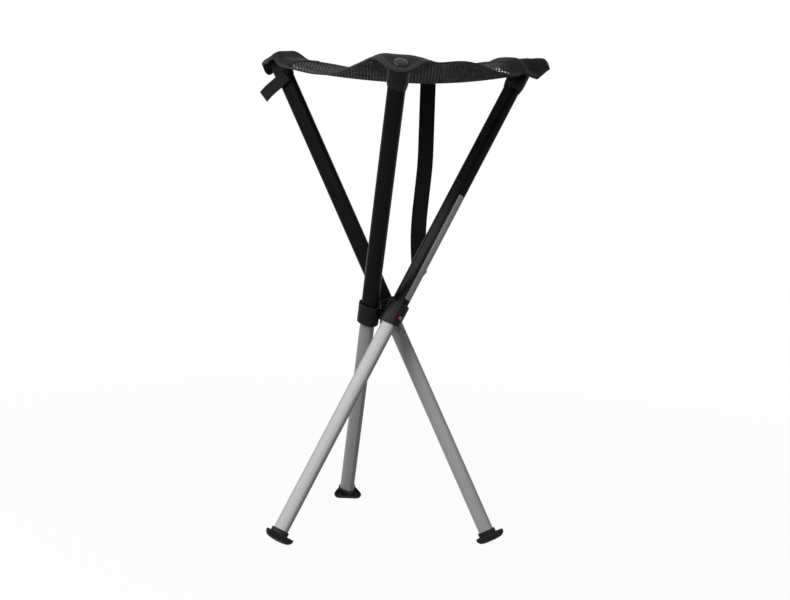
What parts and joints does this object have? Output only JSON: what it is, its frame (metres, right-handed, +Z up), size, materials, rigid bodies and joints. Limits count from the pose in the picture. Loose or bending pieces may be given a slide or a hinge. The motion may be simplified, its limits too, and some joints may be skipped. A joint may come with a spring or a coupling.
{
  "type": "collapsible telescopic stool",
  "caption": "Collapsible stool: skew telescopic legs cross at a hub, lock with push buttons and carry a sagging mesh seat by its corners.",
  "frame": {"origin": "on the ground, under the middle of the part's box, with the legs open and drawn out", "axes": "+Z up; -Y towards the seat corner of the front leg; +X towards the corner of the right leg"},
  "size_m": [0.4684, 0.46, 0.7466],
  "materials": {
    "dark_tube": "black anodised, fine lengthwise brushing",
    "bare_tube": "clear anodised, lengthwise brushing",
    "moulding": "fine moulded grain",
    "button": "smooth",
    "bush": "smooth",
    "steel": "plain",
    "rubber": "matt",
    "solid_cloth": "close woven",
    "mesh_cloth": "open ribbed mesh",
    "hem_cloth": "folded binding",
    "webbing": "ribbed webbing"
  },
  "bodies": {
    "hub": {"hub_core": "moulding", "pivot_pin_front": "steel", "pivot_pin_right": "steel", "pivot_pin_left": "steel", "seat_panel": "mesh_cloth", "seat_hem_front": "hem_cloth", "seat_hem_right": "hem_cloth", "seat_hem_left": "hem_cloth", "carry_strap": "webbing"},
    "leg_front": {"hub_sleeve_front": "moulding", "outer_tube_front": "dark_tube", "top_cap_front": "moulding", "corner_patch_front": "solid_cloth", "seat_rivet_front": "moulding"},
    "inner_front": {"inner_tube_front": "bare_tube", "glide_bush_front": "bush", "lock_spring_front": "steel", "foot_front": "rubber"},
    "button_front": {"lock_button_front": "button"},
    "leg_right": {"hub_sleeve_right": "moulding", "outer_tube_right": "dark_tube", "top_cap_right": "moulding", "corner_patch_right": "solid_cloth", "seat_rivet_right": "moulding"},
    "inner_right": {"inner_tube_right": "bare_tube", "glide_bush_right": "bush", "lock_spring_right": "steel", "foot_right": "rubber"},
    "button_right": {"lock_button_right": "button"},
    "leg_left": {"hub_sleeve_left": "moulding", "outer_tube_left": "dark_tube", "top_cap_left": "moulding", "corner_patch_left": "solid_cloth", "seat_rivet_left": "moulding", "strap_tail": "webbing"},
    "inner_left": {"inner_tube_left": "bare_tube", "glide_bush_left": "bush", "lock_spring_left": "steel", "foot_left": "rubber"},
    "button_left": {"lock_button_left": "button"}
  },
  "joints": [
    {"name": "fold_front", "type": "hinge", "parent": "hub", "child": "leg_front", "pos_m": [-0.03092, 0.01687, 0.34152], "axis": [-1, 0, 0], "range_deg": [0, 30], "deforming": ["seat_panel", "seat_hem_front", "seat_hem_right", "seat_hem_left", "corner_patch_front", "corner_patch_right", "corner_patch_left", "strap_tail", "carry_strap"]},
    {"name": "fold_right", "type": "hinge", "parent": "hub", "child": "leg_right", "pos_m": [0.00508, -0.00391, 0.34152], "axis": [0.5, -0.866, 0], "range_deg": [0, 30]},
    {"name": "fold_left", "type": "hinge", "parent": "hub", "child": "leg_left", "pos_m": [0.00508, 0.03766, 0.34152], "axis": [0.5, 0.866, 0], "range_deg": [0, 30]},
    {"name": "slide_front", "type": "slide", "parent": "leg_front", "child": "inner_front", "axis": [0, -0.5, 0.866], "range_m": [0, 0.35], "deforming": ["lock_spring_front"]},
    {"name": "slide_right", "type": "slide", "parent": "leg_right", "child": "inner_right", "axis": [0.433, 0.25, 0.866], "range_m": [0, 0.35], "deforming": ["lock_spring_right"]},
    {"name": "slide_left", "type": "slide", "parent": "leg_left", "child": "inner_left", "axis": [-0.433, 0.25, 0.866], "range_m": [0, 0.35], "deforming": ["lock_spring_left"]},
    {"name": "press_front", "type": "slide", "parent": "leg_front", "child": "button_front", "axis": [1, 0, 0], "range_m": [0, 0.0018], "stiffness_N_per_m": 400, "deforming": ["lock_spring_front"]},
    {"name": "press_right", "type": "slide", "parent": "leg_right", "child": "button_right", "axis": [-0.5, 0.866, 0], "range_m": [0, 0.0018], "stiffness_N_per_m": 400, "deforming": ["lock_spring_right"]},
    {"name": "press_left", "type": "slide", "parent": "leg_left", "child": "button_left", "axis": [-0.5, -0.866, 0], "range_m": [0, 0.0018], "stiffness_N_per_m": 400, "deforming": ["lock_spring_left"]}
  ],
  "couplings": [
    {"joint": "fold_right", "follows": "fold_front", "ratio": 1},
    {"joint": "fold_left", "follows": "fold_front", "ratio": 1}
  ]
}
